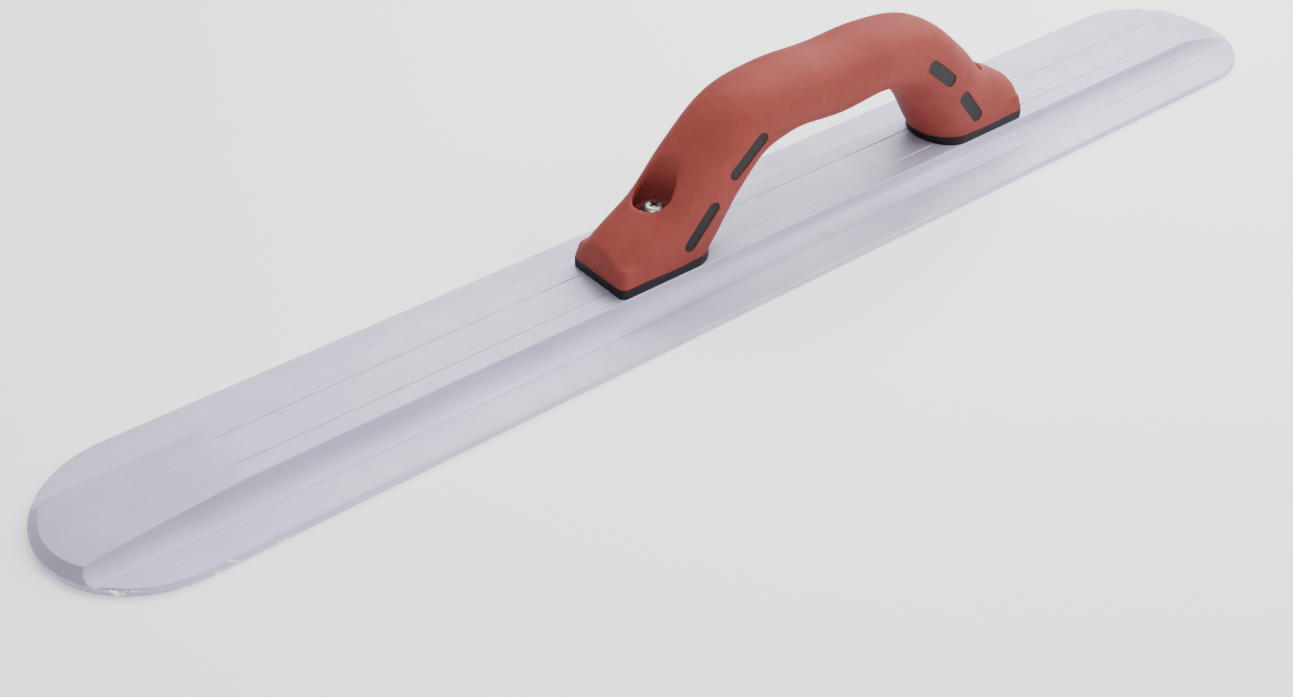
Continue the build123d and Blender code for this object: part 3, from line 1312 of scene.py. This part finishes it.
@dataclass(frozen=True)
class Softbox:
    """One square soft light."""

    name: str
    at: Place
    size: float
    power: float
    colour: Place = (1.0, 1.0, 1.0)
    target: Place = (0.03, 0.0, 0.03)
    spread: float = math.pi

    def hang(self) -> None:
        """Adds the light, turned to its target."""
        data = bpy.data.lights.new(self.name, "AREA")
        data.size = self.size
        data.energy = self.power
        data.color = self.colour
        data.spread = self.spread
        light = bpy.data.objects.new(self.name, data)
        bpy.context.scene.collection.objects.link(light)
        way = Vector(self.target) - Vector(self.at)
        turned = way.to_track_quat("-Z", "Y").to_matrix().to_4x4()
        light.matrix_world = Matrix.Translation(self.at) @ turned


@dataclass
class Studio:
    """Plain pale floor, soft lights and the camera."""

    lens: float = 45.37
    stand: Place = (-0.3910, -0.4044, 0.3717)
    aim: Place = (-0.08306, -0.03312, 0.0)
    roll: float = math.radians(0.86)
    floor_size: float = 30.0
    sky: float = 0.20
    lights: tuple[Softbox, ...] = (
        Softbox("key", (0.35, 0.95, 1.2), 0.5, 11.0),
        Softbox("overhead", (0.5, 0.0, 1.2), 0.8, 9.0),
        Softbox("fill", (1.0, -0.8, 0.85), 0.8, 18.0),
        Softbox("side", (0.8, 0.3, 0.7), 1.0, 17.0, (0.96, 0.98, 1.0)),
        Softbox(
            "well_light",
            (-0.6, -0.3, 0.75),
            0.2,
            0.22,
            target=(-0.053, 0.0, 0.045),
            spread=math.radians(40),
        ),
    )

    def add_camera(self) -> None:
        """Sets up the camera."""
        data = bpy.data.cameras.new("camera")
        data.lens = self.lens
        data.clip_start = 0.01
        camera = bpy.data.objects.new("camera", data)
        bpy.context.scene.collection.objects.link(camera)
        way = Vector(self.aim) - Vector(self.stand)
        turned = way.to_track_quat("-Z", "Y").to_matrix() @ Matrix.Rotation(self.roll, 3, "Z")
        camera.matrix_world = Matrix.Translation(self.stand) @ turned.to_4x4()
        bpy.context.scene.camera = camera

    def add_floor(self) -> None:
        """Lays the pale floor."""
        deselect()
        bpy.ops.mesh.primitive_plane_add(size=self.floor_size, location=(0, 0, CAD_BOX[0][2]))
        floor = take("floor")
        floor.data.materials.append(FLOOR.make())

    def add_sky(self) -> None:
        """Fills the surroundings with even white light."""
        world = bpy.data.worlds.new("surroundings")
        world.use_nodes = True
        background = world.node_tree.nodes["Background"]
        background.inputs["Color"].default_value = (1.0, 1.0, 1.0, 1.0)
        background.inputs["Strength"].default_value = self.sky
        bpy.context.scene.world = world

    def build(self) -> None:
        """Sets up camera, floor, sky and lights."""
        self.add_camera()
        self.add_floor()
        self.add_sky()
        for light in self.lights:
            light.hang()


MAGNESIUM = Magnesium("drawn_magnesium", (0.53, 0.53, 0.68), 0.55, metallic=0.35, gloss=0.5)
GRIP = SoftGrip("soft_red_grip", (0.25, 0.052, 0.044), 0.52, gloss=0.05)
CORE = Finish("hard_dark_core", (0.012, 0.010, 0.011), 0.55, gloss=0.2)
STEEL = BrightSteel("plated_steel", (0.42, 0.40, 0.40), 0.34, metallic=1.0)
ZINC = BrightSteel("plated_washer", (0.5, 0.5, 0.52), 0.35, metallic=1.0)
FLOOR = Paper("floor_paper", (0.92, 0.92, 0.92), 0.9, gloss=0.1)


def main() -> None:
    """Builds every sub-assembly in order and reports each piece."""
    logging.basicConfig(level=logging.INFO, format="%(name)s: %(message)s")
    Studio().build()
    dress(Blade().build(), MAGNESIUM, "blade")
    core, grip = Handle().build()
    dress(core, CORE, "handle_core")
    dress(grip, GRIP, "handle_grip")
    for node, piece in Fasteners().build().items():
        if node.startswith("screw"):
            dress(piece, STEEL, node)
        else:
            dress(piece, ZINC, node)


if __name__ == "__main__":
    main()
